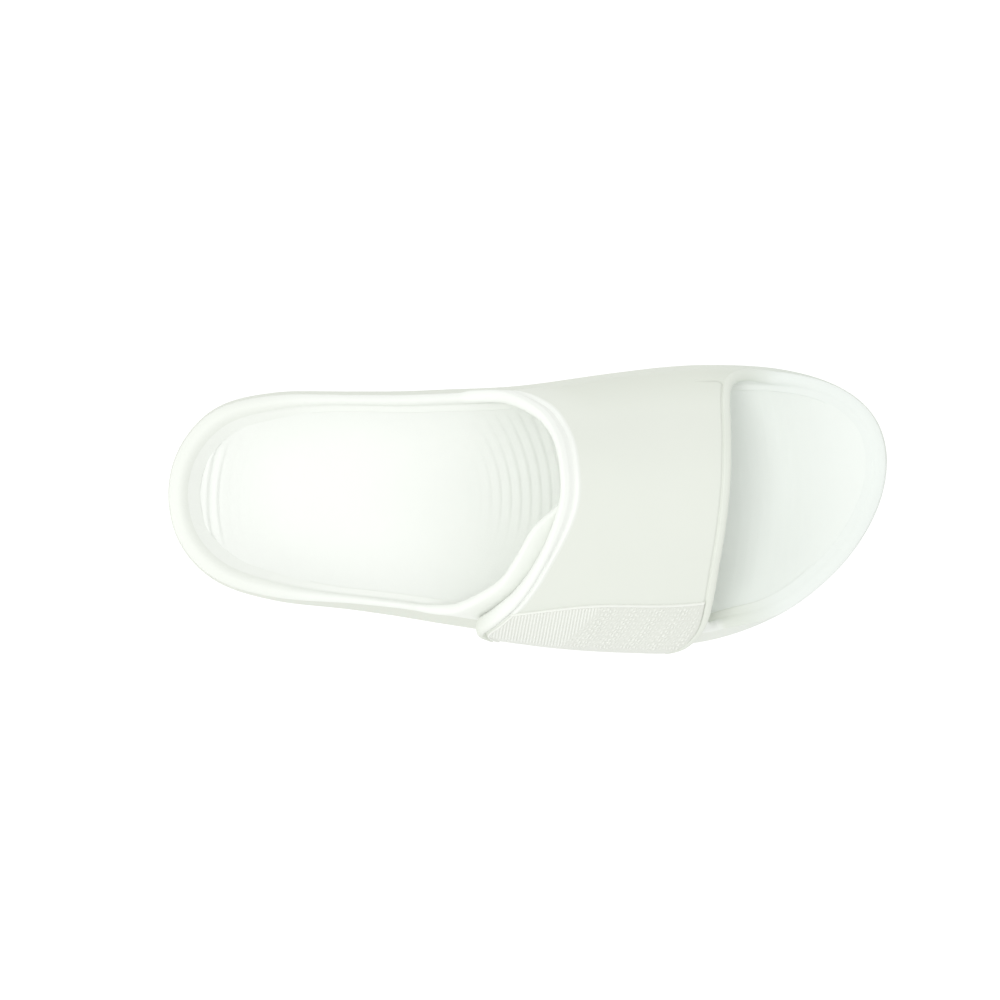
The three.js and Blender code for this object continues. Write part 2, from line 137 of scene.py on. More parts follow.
# Where sizes change along the shoe, as shares of its length from the heel
WIDTH_CHANGE = (0.3, 0.7)
FLOOR_CHANGE = (0.3, 0.66)
HEEL_BEVEL_END = 0.1
ARCH_START = 0.32
ARCH_RUN = 0.26
TOE_START = 0.72
TOE_RUN = 0.28
TOE_SPRING_POWER = 1.8
BACK_RIM_CHANGE = (0.08, 0.35)
BALL_RIM_CHANGE = (0.4, 0.78)
TOE_RIM_CHANGE = (0.82, 1)
WAIST_FLARE_START = (0.1, 0.4)
WAIST_FLARE_END = (0.72, 0.92)
MEDIAL_FLARE_END = (0.8, 0.95)
LATERAL_FLARE_END = (0.775, 0.86)
HEEL_FADE = (0.08, 0.25)
LATERAL_TOE_FADE = (0.72, 0.82)
MEDIAL_TOE_FADE = (0.78, 0.93)
BIG_TOE_BEAD_CHANGE = (0.6, 0.78)
LATERAL_BEAD_CHANGE = (0.12, 0.35)
WALL_LEAN = (-0.15, 1)

# The shoe's middle across, where the frame has it
SHIFT = np.array([0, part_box("sole_and_upper")[1][1] / MM - MEDIAL_REACH, 0])

# Relief of band and tab, in millimetres and turns. FLAT is a share of a bead's width
REAR_BEAD = 3.0
REAR_BEAD_NARROW = 1.6
REAR_BEAD_RISE = 0.8
REAR_BEAD_FLAT = 0.55
REAR_GROOVE = 1.8
REAR_GROOVE_DEPTH = 0.35
REAR_GROOVE_NARROW = 1.0
REAR_GROOVE_DEEPEST = 0.8
GROOVE_DEEPENS = math.radians(92)
GROOVE_DEEP = math.radians(120)
PANEL_EDGE = 1.4
PANEL_EDGE_RISE = 0.3
PANEL_EDGE_SPREAD = 0.2
FRONT_BEAD = 1.4
FRONT_BEAD_RISE = 0.3
FRONT_BEAD_FLAT = 0.6
FRONT_GROOVE = 1.0
FRONT_GROOVE_DEPTH = 0.75
FRONT_GROOVE_START = -0.2
FRONT_GROOVE_SPREAD = 0.3
FRONT_GROOVE_END = (4, 16)
CORNER_TURN = math.radians(27)
CORNER_ROUND = 4.0
TAB_BEAD_RISE = 0.3
TAB_BEAD_FALL = (0.5, 5)
RELIEF_REACH = 26

# Tones of the white foam, as shares of the panel's tone, some of them wholly or partly painted shade,
# and where they come and go: in turns over the foot, and in millimetres from the band's rear bead or
# along the shoe
# The band's panel and front bead: partly the panel's own darker tone, partly painted shade of the
# band's slope towards the toe
BAND_SHADE = 0.7
FRONT_SHADE = 0.8
TAB_SHADE = 0.08
HEEL_SHADE = 0.32
# Painted shade on the ridge of the rim and its inner side at the outer toe
OUTER_TOE_PAINTED_SHADE = 0.75
# Painted shade on the sole's underside and outer wall, for a dark outline; eased off at its top rings
# and at the outer toe
OUTER_WALL_PAINTED_SHADE = 0.55
WALL_TOP_PAINTED_SHADES = (1, 0.9, 0.5)
CORNER_SHADE = (math.radians(140), math.radians(175))
# Painted shade on the band's big-toe side by its root, fading towards the crown
ROOT_PAINTED_SHADE = (math.radians(12), math.radians(58))
ROOT_PAINTED_SHADE_REACH = (8, 22)
MEDIAL_RIM_SHADE = (40, 80)
LATERAL_RIM_SHADE = (40, 60)
OUTER_WALL_TONE = (55, 75)
OUTER_TOE_TONE = (66, 84)
TOE_TONE_END = (84, 106)

# Steps and limits of the meshes
SPOKE_STEP = math.radians(1.1)
TREAD_RINGS = (0.75, 0.5, 0.25, 0)
BORDER_RINGS = (0.33, 0.66, 1)
EDGE_ANGLES = (18, 36, 54, 72)
TRAY_RINGS = (0, 0.12, 0.3, 0.6, 0.85)
GROOVE_POINTS = 40
BEAD_STEPS = 12
FILLET_ROWS = 22
RELIEF_ROWS = 8
STRAP_STEP = 0.9
WALL_RINGS = 22
MERGE = 0.002 * MM
SHARP = math.radians(75)
FAR = 1e9
TINY = 1e-9

# Distances of a strap's columns from its edges, fine where beads and grooves run
REAR_COLUMNS = np.concatenate([np.arange(0, 10.4, 0.4), np.arange(10.4, 14, 0.9)])
FRONT_COLUMNS = np.concatenate([np.arange(0, 5.4, 0.4), np.arange(5.4, 9, 0.9)])
MIDDLE_COLUMNS = 44

# Inner side of the rim, from the bead down to a little under the insole's edge: share of the
# way, sag, and notch under the bead
INNER_WALL = (
    (0, 0, 0),
    (0.2, 0.25, 0.5),
    (0.4, 0.3, 0.2),
    (0.6, 0.25, 0),
    (0.8, 0.12, 0),
    (1, 0, 0),
    (1.12, 0, 0),
)

# Footbed
INSOLE_TUCK = 0.15
LEAST_WIDTH = 0.01
RIM_POINTS = 900
FOOTBED_ROWS = 84
EVEN_ROWS = 0.6
FINE_STRETCHES = ((-150, -108), (-36, 24), (76, 150))
FINE_COLUMN = 0.4
WIDE_COLUMN = 1.3
TIP_COLUMN = 0.06
TIP_GROWTH = 0.35
CUP_POWER = 3.45
HEEL_CUP_POWER = 2.6
TOE_CUP_POWER = 1.9
RIPPLE_CENTRE = (-61.8, 3.8)
RIPPLE_PITCH = 4.0
RIPPLE_RISE = 0.27
RIPPLE_TREAD = 0.8
RIPPLE_SIDE_FADE = 0.12
RIPPLE_END_FADE = 0.05

# Stretches over which the terraces come and go: along the shoe, across it, and outwards
BAND_RIPPLES_X = ((-26, 0), (40, 60))
BAND_RIPPLES_Y = ((-18, 8), (39, 44))
HEEL_RIPPLES_X = (-124, -116)
HEEL_RIPPLES_Y = ((-24, -6), (22, 30))
HEEL_RIPPLES_OUT = (58, 61)
HEEL_RIPPLES = 3.8
MIDDLE_RIPPLES_X = (60, 70)
MIDDLE_RIPPLES_OUT = (34, 60)
MIDDLE_RIPPLES = 0.16
TOE_RIPPLES_X = ((76, 86), (106, 120))
TOE_RIPPLES = 0.22

# Grip panel, in millimetres and turns. The tops' shares are how far the tops of ribs and dots take on
# the painted highlight of the raised line
GRIP_TOP_TURN = math.radians(134)
GRIP_REAR_DROP = math.radians(9)
GRIP_END_TURN = math.radians(181)
GRIP_INSET_REAR = 0.1
GRIP_TOP_BEND = 0.5
GRIP_CORNER = 6.0
GRIP_CORNER_START = 0.8
GRIP_CORNER_RUN = 0.2
GRIP_OVER_GROOVE = 0.4
GRIP_GAP = 0.05
GRIP_FIELD = 0.25
GRIP_EDGE = 0.1
GRIP_EDGE_RUN = 0.4
GRIP_LINE = 1.2
GRIP_LINE_RISE = 0.6
LINE_FOOT = (0.8, 1.3)
GRIP_COLUMNS = 400
GRIP_ROWS = 180
STUD_PITCH = 1.3
STUD_ROW_PITCH = 1.3
STUD_RISE = 0.45
RIB_PITCH = 1.2
RIB_SLANT = 0.2
RIB_RUN = 30
RIB_NOTCH = 0.25
RIB_BLEND = 1.5
ROW_WAVES = ((0.2, 2.1), (0.12, 5.3))
DOT_STAGGER = 0.62
DOT_LOWEST = 0.6
DOT_SPREAD = 0.7
DOT_MIX = (12.9898, 78.233)
RIB_TOP_HIGHLIGHT = 1.0
DOT_TOP_HIGHLIGHT = 0.7
PLAIN_BORDER = 3.0
PLAIN_BORDER_FADE = 0.5
OUTER_FADE = (0.5, 1.8)
FOOT_GROOVE = 0.8
FOOT_GROOVE_DEPTH = 0.25
FOOT_GROOVE_START = (22, 26)

# Colours, where the toe's cooler tints set in along the shoe, in metres, and the foam's skin
WHITE = (0.86, 0.885, 0.84)
# The panel's darker tone, also the colour of the painted shade on the white foam
PANEL_AND_PAINTED_SHADE = (0.706, 0.739, 0.66)
FOOTBED = (0.865, 0.89, 0.85)
TOE_RIM_TINT = (0.944, 0.965, 0.972)
TOE_RIM_TINT_RUN = (0.07, 0.1)
TOE_BED_TINT = (0.965, 0.983, 0.982)
TOE_BED_TINT_RUN = (0.05, 0.085)
# Painted highlight: the lighter tone of the grip's raised line and of the tops of its ribs and dots
GRIP_PAINTED_HIGHLIGHT = (0.86, 0.88, 0.83)
GRIP = (0.725, 0.745, 0.685)
TAPE = (0.74, 0.76, 0.72)
MOTTLE = 0.012
MOTTLE_SCALE = 38
MOTTLE_DETAIL = 3
GRAIN_DETAIL = 4
GRAIN_STRENGTH = 0.6
SHEEN = 0.35

# Studio
KEY_PLACE = (-0.45, -0.05, 1.85)
KEY_SIZE = 0.7
KEY_POWER = 9.2
FILL_PLACE = (-1.2, -0.5, 0.8)
FILL_SIZE = 1.0
FILL_POWER = 2.0
SKY_STRENGTH = 0.86
FLOOR_GLOW = 0.85
FLOOR_TONE = 0.25
FLOOR_SIZE = 8
CAMERA_HEIGHT = 1.55
CAMERA_SENSOR = 36
CAMERA_REACH = 20
FRAME_WIDTH = 0.4039
FRAME_CENTRE = (-0.0106, 0.0038)

# Plan of the sole, a row for each 15 degrees of a turn whose cosine runs from heel to toe:
# half width as a share of the local width, and middle line as a share of the ball width
PLAN = np.array([
    (0, 0.054),
    (0.229, 0.052),
    (0.4, 0.054),
    (0.477, 0.047),
    (0.5, 0.033),
    (0.522, 0.012),
    (0.508, -0.004),
    (0.5, 0.005),
    (0.5, 0.023),
    (0.443, 0.064),
    (0.33, 0.114),
    (0.178, 0.155),
    (0, 0.171),
])
HALF, MID = 0, 1

# Edges of band and tab, a row for each 15 degrees over the foot from the big-toe side,
# as shares of BAND_SWEEP: band rear, band front, tab rear, tab front
EDGES = np.array([
    (0.9, 0.12, 0, 0),
    (0.68, 0.06, 0, 0),
    (0.45, 0.02, 0, 0),
    (0.22, 0, 0, 0),
    (0.08, 0, 0, 0),
    (0.01, -0.01, 0, -0.8),
    (0, -0.03, -0.05, -0.7),
    (0.12, -0.08, 0.31, -0.48),
    (0.31, -0.15, 0.51, -0.39),
    (0.54, -0.21, 0.71, -0.33),
    (0.8, -0.29, 1.01, -0.29),
    (0.98, -0.47, 1.26, -0.24),
    (0.86, -0.67, 1.46, -0.16),
])
BAND, TAB = 0, 2

# Fillets where the straps' edges leave the rim: turn in degrees, and run along the rim in
# millimetres
FILLETS = {
    (BAND, 0): (ROOT_FILLET_TURN, 12.0),
    (BAND, 1): (38, 18.0),
    (TAB, 0): (ROOT_FILLET_TURN, 12.0),
    (TAB, 1): (12, 6.0),
}


def lerp(a, b, t):
    return a + (b - a) * t


def smooth(t, low, high):
    t = np.clip((t - low) / (high - low), 0, 1)
    return t * t * (3 - 2 * t)


def fall(t, low, high):
    """1 up to low and 0 from high on."""
    return 1 - smooth(t, low, high)


def column(table, name, place, flip=1):
    """A column of a table at places counted in rows, along a smooth curve through them. flip is
    -1 where the curve passes zero at both ends, as a half width does."""
    values = table[:, name]
    last = len(values) - 1
    padded = np.concatenate([[flip * values[1]], values, [flip * values[-2]]])
    i = np.minimum(np.floor(place).astype(int), last - 1)
    t = place - i
    a, b, c, d = (padded[i + k] for k in range(4))
    square = (2 * a - 5 * b + 4 * c - d) * t**2
    cube = (3 * b - a - 3 * c + d) * t**3
    return 0.5 * (2 * b + (c - a) * t + square + cube)


def along(x):
    """Share of the shoe's length from the heel."""
    return np.clip((x - HEEL_BACK) / SOLE_LENGTH, 0, 1)


def plan_at(turn):
    """x, half width and middle line of the plan at a turn from heel to toe."""
    x = HEEL_BACK * np.cos(turn)
    place = turn / math.pi * (len(PLAN) - 1)
    width = lerp(HEEL_WIDTH, BALL_WIDTH, smooth(along(x), *WIDTH_CHANGE))
    return x, width * column(PLAN, HALF, place, -1), BALL_WIDTH * column(PLAN, MID, place)


def turn_at(x):
    return np.arccos(1 - 2 * along(x))


def underside(x):
    a = along(x)
    bevel = HEEL_BEVEL * np.maximum(0, 1 - a / HEEL_BEVEL_END) ** 2
    arch = ARCH_RISE * np.sin(math.pi * np.clip((a - ARCH_START) / ARCH_RUN, 0, 1)) ** 2
    return bevel + arch + TOE_SPRING * np.maximum(0, (a - TOE_START) / TOE_RUN) ** TOE_SPRING_POWER


def floor_at(x):
    a = along(x)
    toe = TOE_FLOOR_RISE * np.maximum(0, (a - TOE_START) / TOE_RUN) ** 2
    return lerp(HEEL_FLOOR, BALL_FLOOR, smooth(a, *FLOOR_CHANGE)) + toe


def rim_at(x):
    a = along(x)
    back = lerp(HEEL_RIM, WAIST_RIM, smooth(a, *BACK_RIM_CHANGE))
    ball = lerp(back, BALL_RIM, smooth(a, *BALL_RIM_CHANGE))
    return lerp(ball, TOE_RIM, smooth(a, *TOE_RIM_CHANGE))


def flare_at(x, side):
    """How far the side wall leans in from its widest line to the rim."""
    a = along(x)
    waist = smooth(a, *WAIST_FLARE_START) * fall(a, *WAIST_FLARE_END)
    wall = np.where(side > 0, MEDIAL_FLARE, lerp(MEDIAL_FLARE, LATERAL_FLARE, waist))
    toe = np.where(side > 0, smooth(a, *MEDIAL_FLARE_END), smooth(a, *LATERAL_FLARE_END))
    return lerp(wall, TOE_FLARE, toe)


def toe_fade(x, side):
    """1 at the toe, where the rim's bead is low and the footbed flat. side runs from -1 on the
    outer side to 1 on the big-toe side."""
    lateral = smooth(along(x), *LATERAL_TOE_FADE)
    return lerp(lateral, smooth(along(x), *MEDIAL_TOE_FADE), (side + 1) / 2)


def heel_fade(x):
    """1 at the heel, where the rim is a broad soft shoulder."""
    return fall(along(x), *HEEL_FADE)


def bead_rise(x, side):
    return lerp(BEAD_RISE, TOE_BEAD_RISE, toe_fade(x, side))


def bead_width(x, side):
    medial = lerp(BEAD_WIDTH, BIG_TOE_BEAD_WIDTH, smooth(along(x), *BIG_TOE_BEAD_CHANGE))
    lateral = lerp(BEAD_WIDTH, LATERAL_BEAD_WIDTH, smooth(along(x), *LATERAL_BEAD_CHANGE))
    width = lerp(np.where(side > 0, medial, lateral), HEEL_BEAD_WIDTH, heel_fade(x))
    return lerp(width, TOE_BEAD_WIDTH, toe_fade(x, side))


def cup_at(x, side):
    """How far the footbed's edge stands above its middle, up to a little under the rim's bead."""
    drop = lerp(WAIST_LIP_DROP, HEEL_LIP_DROP, heel_fade(x))
    drop = lerp(drop, TOE_LIP_DROP, toe_fade(x, side))
    return rim_at(x) - bead_rise(x, side) - drop - floor_at(x)


def dish_at(x, side, share):
    """Share of the cup at a share of the way from the footbed's edge to its middle."""
    power = lerp(CUP_POWER, HEEL_CUP_POWER, heel_fade(x))
    return (1 - share) ** lerp(power, TOE_CUP_POWER, toe_fade(x, side))


def wall_run(x, side):
    """Width of the slope between the rim's bead and the footbed's edge."""
    return lerp(lerp(WALL_RUN, HEEL_WALL_RUN, heel_fade(x)), TOE_WALL_RUN, toe_fade(x, side))


def stack(x, y, z):
    """Points from coordinates of matching shapes."""
    return np.stack(np.broadcast_arrays(x, y, z), axis=-1)


def arch(turn, x, lift):
    """A point over the foot: turn runs from the big-toe side's root to the other at pi."""
    _, half, mid = plan_at(turn_at(x))
    medial = mid + half - flare_at(x, 1)
    lateral = mid - half + flare_at(x, -1)
    span = (medial - lateral) / 2 - BAND_WALL
    base = rim_at(x) - BASE_DROP
    crown = lerp(CROWN_REAR, CROWN_FRONT, (x - CROWN_REAR_X) / BAND_CROWN_WIDTH)
    over = np.clip(turn, 0, math.pi)
    drop = np.where(turn < 0, over - turn, turn - over) * HALF_SPAN
    y = (medial + lateral) / 2 + (span + lift) * np.cos(over) + CROWN_SHIFT * np.sin(over) ** 2
    return stack(x, y, base + (crown - base + lift) * np.sin(over) - drop)


def edges_at(kind, turn):
    """x of the rear and front edge of band or tab, with a round fillet where it leaves the rim."""
    place = np.clip(turn / math.pi, 0, 1) * (len(EDGES) - 1)
    root = turn + ROOT_TURN if kind == BAND else math.pi + ROOT_TURN - turn
    spread = []
    for edge in (0, 1):
        fillet_turn, run = FILLETS[kind, edge]
        open_share = 1 - np.clip(root / math.radians(fillet_turn), 0, 1)
        fillet = 1 - np.sqrt(np.maximum(0, 1 - open_share**2))
        spread.append(column(EDGES, kind + edge, place) * BAND_SWEEP + run * fillet)
    return CROWN_REAR_X - spread[0], CROWN_FRONT_X + spread[1]


def band_lift(turn):
    """How far the band rises over the tab and the fastener's pads."""
    return OVERLAP_LIFT * smooth(turn, RAMP_START, RAMP_END)


def spaced(first, last, step):
    """Values from first to last at about a step, last left out."""
    count = max(2, round(abs(last - first) / step))
    return lerp(first, last, np.arange(count) / count)


def across(rear, front):
    """x of each column of a strap between its edges, one row for each edge point."""
    rear = np.asarray(rear)[..., None]
    front = np.asarray(front)[..., None]
    first = rear + EDGE_REACH + REAR_COLUMNS
    last = front - FRONT_SET - FRONT_COLUMNS[::-1]
    shares = np.arange(1, MIDDLE_COLUMNS) / MIDDLE_COLUMNS
    middle = lerp(first[..., -1:], last[..., :1], shares)
    return np.concatenate([first, middle, last], axis=-1)


def spoke_turns():
    """Turns of the sole's spokes once round, with the index of each strap's first and last."""
    band_x = across(*edges_at(BAND, np.array(-ROOT_TURN)))
    tab_x = across(*edges_at(TAB, np.array(math.pi + ROOT_TURN)))
    band_turns = turn_at(band_x)
    tab_turns = 2 * math.pi - turn_at(tab_x)[::-1]
    parts = [
        spaced(0, band_turns[0], SPOKE_STEP),
        band_turns[:-1],
        spaced(band_turns[-1], math.pi, SPOKE_STEP),
        spaced(math.pi, tab_turns[0], SPOKE_STEP),
        tab_turns[:-1],
        spaced(tab_turns[-1], 2 * math.pi, SPOKE_STEP),
    ]
    starts = np.cumsum([0] + [len(p) for p in parts])
    return np.concatenate(parts), (starts[1], starts[2]), (starts[4], starts[5])


class Spokes:
    """Lines of the plan from the outline in to the spine."""

    def __init__(self, turns):
        self.side = np.where(turns <= math.pi, 1, -1)
        half_turn = np.where(turns <= math.pi, turns, 2 * math.pi - turns)
        x, half, mid = plan_at(half_turn)
        self.outer = np.stack([x, mid + self.side * half], axis=-1)
        self.inner = np.stack([x + END_RUN * np.cos(half_turn), mid], axis=-1)
        self.reach = np.linalg.norm(self.outer - self.inner, axis=-1)
        self.flare = flare_at(x, self.side)
        self.bead_end = self.flare + bead_width(x, self.side)
        self.lip = self.bead_end + wall_run(x, self.side)
        self.x = x

    def at(self, inset, height):
        """Points at an inset from the outline. height is a number, one for each spoke, or a
        function of x."""
        flat = lerp(self.outer, self.inner, (inset / self.reach)[:, None])
        z = height(flat[:, 0]) if callable(height) else height
        return stack(flat[:, 0], flat[:, 1], z)


class Mesh:
    """Vertices and quads gathered from grids, with shared points merged at the end."""

    def __init__(self):
        self.points = []
        self.quads = []
        self.shades = []
        self.count = 0

    def grid(self, points, shade=0.0, wrap=False):
        rows, cols = points.shape[:2]
        index = np.arange(rows * cols).reshape(rows, cols) + self.count
        if wrap:
            index = np.concatenate([index, index[:1]])
        quads = np.stack([index[:-1, :-1], index[1:, :-1], index[1:, 1:], index[:-1, 1:]], axis=-1)
        self.quads.append(quads.reshape(-1, 4))
        self.shades.append(np.broadcast_to(shade, (rows, cols)).reshape(-1))
        self.points.append(points.reshape(-1, 3))
        self.count += rows * cols

    def sides(self, top, bottom):
        """The four edges between two grids of the same size."""
        for edge in (np.s_[0], np.s_[-1], np.s_[:, 0], np.s_[:, -1]):
            self.grid(np.stack([top[edge], bottom[edge]]))

    def sheet(self, top, bottom):
        """A closed sheet between two grids of the same size."""
        self.grid(top)
        self.grid(bottom)
        self.sides(top, bottom)

    def build(self, name, material=None, close=False):
        """An object of the mesh. close fills what is still open underneath."""
        points = (np.concatenate(self.points) + SHIFT) * MM
        quads = np.concatenate(self.quads)
        keys = np.round(points / MERGE).astype(np.int64)
        _, first, inverse = np.unique(keys, axis=0, return_index=True, return_inverse=True)
        inverse = inverse.reshape(-1)
        faces = []
        for quad in inverse[quads].tolist():
            corners = [v for k, v in enumerate(quad) if v != quad[k - 1]]
            if len(corners) > 2 and len(set(corners)) == len(corners):
                faces.append(corners)
        mesh = bpy.data.meshes.new(name)
        mesh.from_pydata(points[first].tolist(), [], faces)
        mesh.materials.append(material)
        shade = mesh.attributes.new("shade", "FLOAT", "POINT")
        shade.data.foreach_set("value", np.concatenate(self.shades)[first])
        work = bmesh.new()
        work.from_mesh(mesh)
        if close:
            open_edges = [edge for edge in work.edges if edge.is_boundary]
            bmesh.ops.triangle_fill(work, use_beauty=True, use_dissolve=False, edges=open_edges)
        bmesh.ops.recalc_face_normals(work, faces=work.faces)
        work.to_mesh(mesh)
        work.free()
        mesh.shade_smooth()
        if not close:
            mesh.set_sharp_from_angle(angle=SHARP)
        obj = bpy.data.objects.new(name, mesh)
        bpy.context.scene.collection.objects.link(obj)
        return obj


def bump(d, start, width):
    """A round ridge of height 1 over a stretch of distance."""
    return np.sin(math.pi * np.clip((d - start) / width, 0, 1)) ** 2


def distance_to(points, path):
    """Distance of each point to a polyline, out to RELIEF_REACH along the shoe."""
    flat = points.reshape(-1, 3)
    best = np.full(len(flat), FAR)
    for a, b in zip(path[:-1], path[1:]):
        ab = b - a
        near = np.nonzero(np.abs(flat[:, 0] - a[0]) < RELIEF_REACH)[0]
        rel = flat[near] - a
        t = np.clip(rel @ ab / max(ab @ ab, TINY), 0, 1)
        best[near] = np.minimum(best[near], np.linalg.norm(rel - t[:, None] * ab, axis=-1))
    return best.reshape(points.shape[:-1])


def rear_widths(turn):
    """Widths of the rear bead and of the groove beside it, both narrower on the outer side."""
    outer_side = smooth(turn, GROOVE_DEEPENS, GROOVE_DEEP)
    bead = lerp(REAR_BEAD, REAR_BEAD_NARROW, outer_side)
    return bead, lerp(REAR_GROOVE, REAR_GROOVE_NARROW, outer_side)


def rear_relief(d, turn):
    """Relief of the band's outer face by distance from its rear bead's crest."""
    bead, groove = rear_widths(turn)
    depth = lerp(REAR_GROOVE_DEPTH, REAR_GROOVE_DEEPEST, smooth(turn, GROOVE_DEEPENS, GROOVE_DEEP))
    rise = REAR_BEAD_RISE * fall(d, bead * REAR_BEAD_FLAT, bead)
    edge = bump(d, bead + groove - PANEL_EDGE_SPREAD, PANEL_EDGE + 2 * PANEL_EDGE_SPREAD)
    return rise - depth * bump(d, bead, groove) + PANEL_EDGE_RISE * edge


def front_relief(d, turn):
    """Relief by distance from the front edge. Its groove turns to the rear by the big toe's root."""
    bead = FRONT_BEAD_RISE * fall(d, FRONT_BEAD * FRONT_BEAD_FLAT, FRONT_BEAD)
    from_edge = np.maximum(0, CORNER_ROUND - d + FRONT_BEAD)
    from_root = np.maximum(0, CORNER_ROUND - (turn - CORNER_TURN) * HALF_SPAN)
    inside = CORNER_ROUND - np.hypot(from_edge, from_root)
    groove = bump(inside, FRONT_GROOVE_START, FRONT_GROOVE + FRONT_GROOVE_SPREAD)
    return bead - FRONT_GROOVE_DEPTH * groove * fall(d, *FRONT_GROOVE_END)


def round_over(outer, inner, up, rise, soft=0):
    """Points of a half round from outer to inner face, ends left out. Where soft is 1 its inner
    half falls off in a slope."""
    mid = (outer + inner) / 2
    half = (outer - inner) / 2
    points = []
    for angle in np.arange(1, BEAD_STEPS) / BEAD_STEPS * math.pi:
        swell = math.sin(angle)
        slope = swell**2 if angle > math.pi / 2 else swell
        points.append(mid + half * math.cos(angle) + up * (rise * lerp(swell, slope, soft)))
    return points


def unit(v):
    return v / np.maximum(np.linalg.norm(v, axis=-1, keepdims=True), TINY)


def outward(turn):
    """Direction away from the foot at each turn."""
    over = np.clip(turn, 0, math.pi)
    return stack(0 * over, np.cos(over), np.sin(over))


def strap_turns(kind):
    """Turns of a strap's rows from its root, close together in the fillet."""
    fillet = math.radians(ROOT_FILLET_TURN)
    root = fillet * (np.arange(FILLET_ROWS) / FILLET_ROWS) ** 2 - ROOT_TURN
    end = math.pi + FREE_END_DROP / HALF_SPAN if kind == BAND else math.pi - TAB_TOP
    end -= EDGE_REACH / HALF_SPAN
    rest = np.append(spaced(fillet - ROOT_TURN, end, STRAP_STEP / HALF_SPAN), end)
    turns = np.concatenate([root, rest])
    return turns if kind == BAND else math.pi - turns


def strap(kind, outer_root, inner_root):
    """Turns of a strap's rows, and its outer and inner face from the sole's rings at its root."""
    turns = strap_turns(kind)
    x = across(*edges_at(kind, turns))
    turn = turns[:, None]
    lift = band_lift(turn) if kind == BAND else 0
    roll = REAR_ROLL * fall(x - x[:, :1], *REAR_ROLL_REACH)
    outer = arch(turn, x, lift + BAND_WALL)
    inner = arch(turn, x, lift * (1 - roll))
    rows = np.arange(len(turns))[:, None]
    fade = fall(rows, 0, FILLET_ROWS)[..., None]
    outer = outer + (outer_root - outer[0]) * fade
    inner = inner + (inner_root - inner[0]) * fade
    return turns, outer, inner


def strap_edge(kind, outer, inner, rise, soft):
    """Round edge of a strap, from its rear root round the end to its front root. rise and soft
    are those of the rim's bead at the two roots."""
    def rim(grid):
        return np.concatenate([grid[:, 0], grid[-1, 1:], grid[-2::-1, -1]])
    out, inn = rim(outer), rim(inner)
    rows = np.broadcast_to(np.arange(len(outer))[:, None], outer.shape[:2])
    by_root = fall(rim(rows), 0, FILLET_ROWS)[:, None]
    at_front = np.arange(len(out))[:, None] > len(outer)
    reach = lerp(EDGE_REACH, np.where(at_front, rise[1], rise[0]), by_root)
    soft = np.where(at_front, soft[1], soft[0]) * by_root
    tangent = unit(np.gradient((out + inn) / 2, axis=0))
    sideways = unit(np.cross(tangent, out - inn)) * (1 if kind == BAND else -1)
    return np.stack([out, *round_over(out, inn, sideways, reach, soft), inn], axis=1)


def bead_soft(x, side):
    """1 where the rim's bead falls off inwards in a slope, 0 where it is a half round."""
    return np.maximum(heel_fade(x), toe_fade(x, side))


def tray_height(x, side, share):
    """Height of the insole's tray, which runs with the footbed."""
    return floor_at(x) + cup_at(x, side) * dish_at(x, side, share) - INSOLE_THICKNESS


def sole_rings(spokes):
    """Rings of the sole from the tread out to the foot of the rim's bead, then the bead, then
    its inner side down into the insole's tray."""
    foot = underside(spokes.x)
    flare = spokes.flare
    side = spokes.side
    rise = bead_rise(spokes.x, side)
    bead_foot = rim_at(spokes.x) - rise
    under = [spokes.at(lerp(TREAD_BORDER, spokes.reach, s), underside) for s in TREAD_RINGS]
    under += [spokes.at(lerp(TREAD_BORDER, EDGE_RADIUS, s), underside) for s in BORDER_RINGS]
    for angle in np.radians(EDGE_ANGLES):
        inset = EDGE_RADIUS * (1 - math.sin(angle))
        under.append(spokes.at(inset, foot + EDGE_RADIUS * (1 - math.cos(angle))))
    wall = []
    for share in np.linspace(0, 1, WALL_RINGS):
        z = lerp(foot + EDGE_RADIUS, bead_foot, share)
        lean = smooth((z - foot - WIDEST_HEIGHT) / (bead_foot - foot - WIDEST_HEIGHT), *WALL_LEAN)
        wall.append(spokes.at(flare * lean, z))
    outer_foot = wall[-1]
    inner_foot = spokes.at(spokes.bead_end, bead_foot)
    up = np.array([0.0, 0.0, 1.0])
    soft = bead_soft(spokes.x, side)[:, None]
    bead = [outer_foot, *round_over(outer_foot, inner_foot, up, rise[:, None], soft), inner_foot]
    lip = spokes.at(spokes.lip, floor_at(spokes.x) + cup_at(spokes.x, side))
    inside = []
    for share, sag, notch in INNER_WALL:
        down = lerp(inner_foot, lip, share)
        toward = unit(lip - inner_foot) * notch * np.array([1, 1, 0])
        inside.append(down - (toward + np.array([0, 0, sag])) * (1 - soft))
    tray = []
    for share in TRAY_RINGS:
        inset = lerp(spokes.lip, spokes.reach, share)
        tray.append(spokes.at(inset, lambda x: tray_height(x, side, share)))
    return np.stack(under + wall, axis=1), np.stack(bead, axis=1), np.stack(inside + tray, axis=1)


def toe_side_shade(x):
    """Share of the panel's tone left where the band's front runs out towards the toe."""
    return fall(x, *TOE_TONE_END)


def rim_shade(spokes):
    """Shade of the rim's bead, darker at the heel and beside the band's front roots."""
    # By the band's big-toe front root the bead takes the front bead's tone, partly painted shade
    medial = FRONT_SHADE * smooth(spokes.x, *MEDIAL_RIM_SHADE)
    # On the outer side the bead takes the tab's tone, then painted shade towards the toe
    lateral = lerp(TAB_SHADE, OUTER_TOE_PAINTED_SHADE, smooth(spokes.x, *OUTER_TOE_TONE))
    lateral = lateral * smooth(spokes.x, *LATERAL_RIM_SHADE)
    by_root = np.where(spokes.side > 0, medial, lateral) * toe_side_shade(spokes.x)
    return np.maximum(by_root, HEEL_SHADE * heel_fade(spokes.x))


